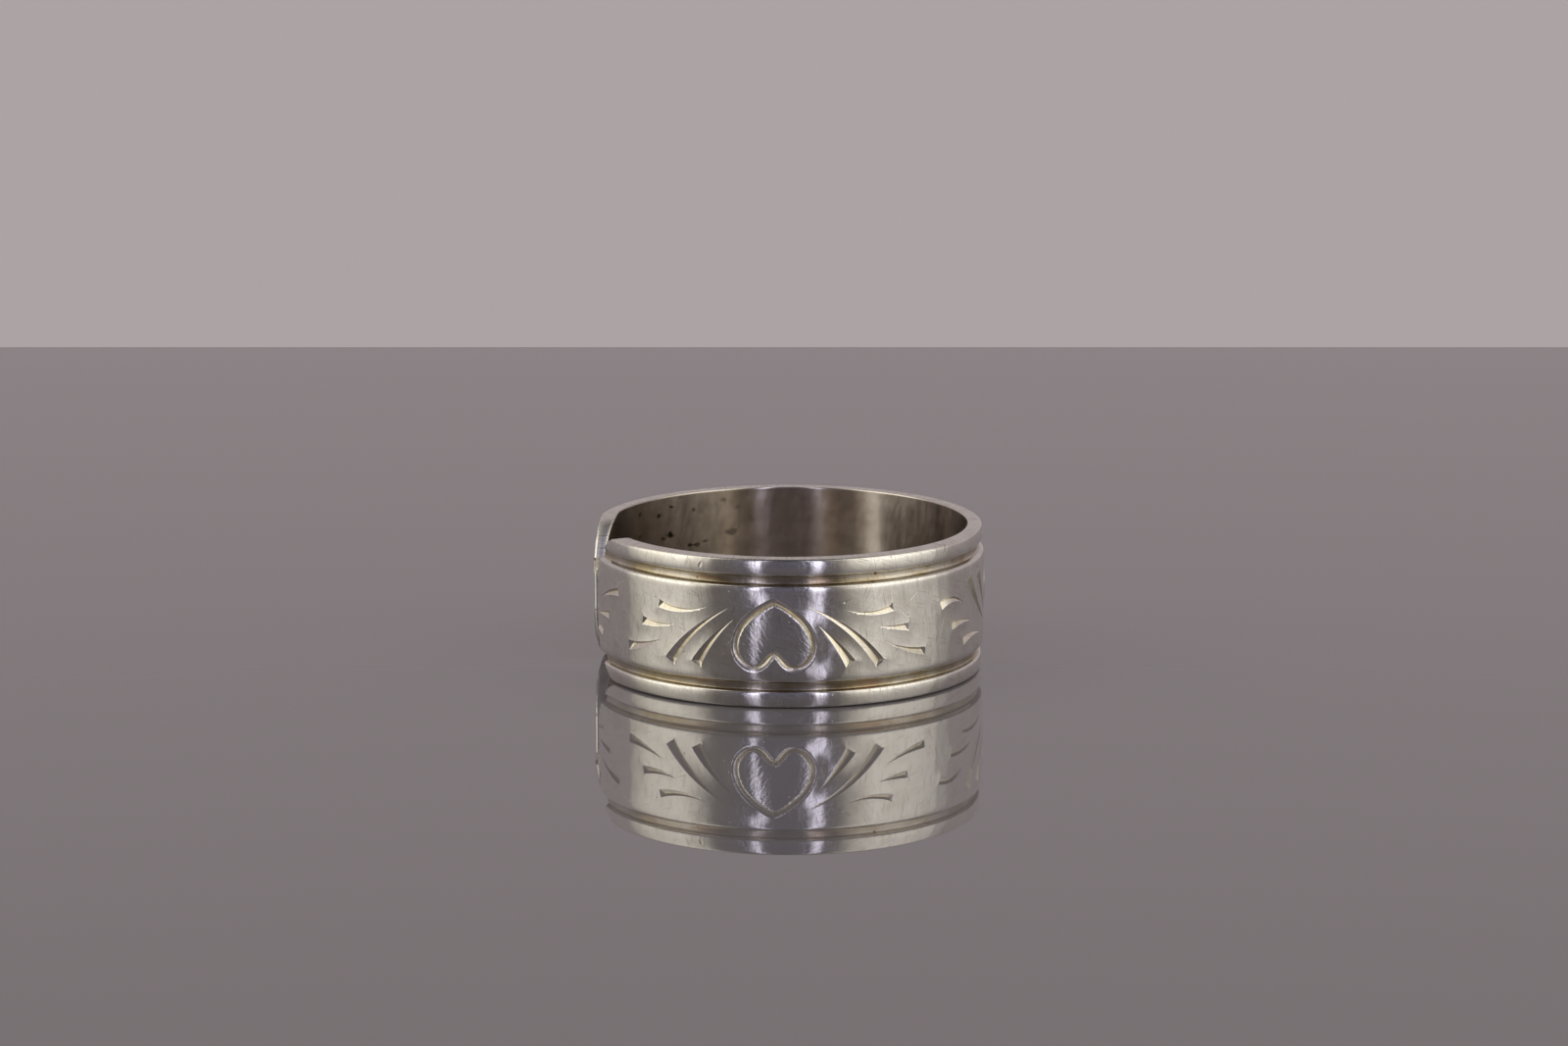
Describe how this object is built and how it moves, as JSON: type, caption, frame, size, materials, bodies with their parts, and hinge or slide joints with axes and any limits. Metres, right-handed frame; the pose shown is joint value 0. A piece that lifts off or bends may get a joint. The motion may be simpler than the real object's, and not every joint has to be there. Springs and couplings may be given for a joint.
{
  "type": "open silver band ring with heart motif",
  "caption": "Open band ring with beaded edges and a plain field, cut with heart outlines and sprays of tapering V cuts. Round-cornered ends leave a narrow gap.",
  "frame": {"origin": "on the finger bore's axis, in the plane of the lower rim that the ring lies on", "axes": "+Z along the finger bore's axis, towards the upper rim; -Y towards the middle heart; the gap is on the -X side"},
  "size_m": [0.02, 0.02, 0.0075],
  "materials": {
    "silver": "worn polish with tarnish in the cuts"
  },
  "bodies": {
    "root": {"ring_band": "silver"}
  },
  "joints": []
}
